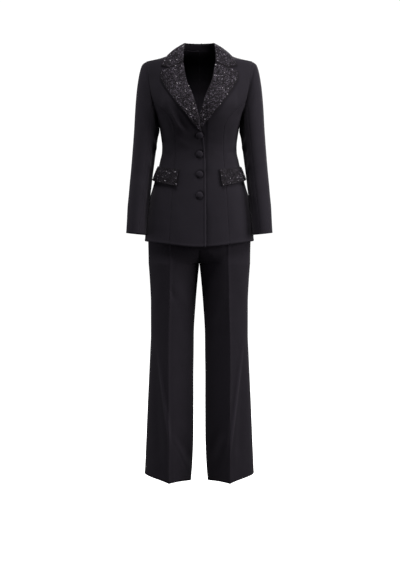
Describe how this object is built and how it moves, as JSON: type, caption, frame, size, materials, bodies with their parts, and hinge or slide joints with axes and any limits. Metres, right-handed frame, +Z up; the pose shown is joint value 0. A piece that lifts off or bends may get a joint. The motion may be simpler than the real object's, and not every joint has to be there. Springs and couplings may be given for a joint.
{
  "type": "trouser suit",
  "caption": "Worn hollow two-piece suit: fitted single-breasted jacket with beaded lapels, collar and pocket flaps, over full-length creased trousers.",
  "frame": {"origin": "midway between the sides of the neck, at the height of the inner ends of the shoulder seams, where the wearer's shoulders carry the jacket", "axes": "+Z up, -Y towards the front of the suit, +X towards the wearer's left"},
  "size_m": [0.4994, 0.2752, 1.509],
  "materials": {
    "crepe": "matt black crepe suiting",
    "trouser_crepe": "matt black crepe suiting, pressed creases",
    "beading": "black cloth closely covered in small black sequins and beads",
    "covered_button": "button covered in the suit's own crepe"
  },
  "bodies": {
    "root": {"jacket_front_right": "crepe", "jacket_front_left": "crepe", "jacket_side_front_right": "crepe", "jacket_side_front_left": "crepe", "jacket_side_back_right": "crepe", "jacket_side_back_left": "crepe", "jacket_back_right": "crepe", "jacket_back_left": "crepe", "sleeve_top_right": "crepe", "sleeve_top_left": "crepe", "sleeve_under_right": "crepe", "sleeve_under_left": "crepe", "lapel_right": "beading", "lapel_left": "beading", "collar": "beading", "collar_stand": "crepe", "pocket_flap_right": "beading", "pocket_flap_left": "beading", "button_1": "covered_button", "button_2": "covered_button", "button_3": "covered_button", "button_4": "covered_button", "trouser_front_right": "trouser_crepe", "trouser_front_left": "trouser_crepe", "trouser_back_right": "trouser_crepe", "trouser_back_left": "trouser_crepe", "waistband_right": "trouser_crepe", "waistband_left": "trouser_crepe"}
  },
  "joints": []
}
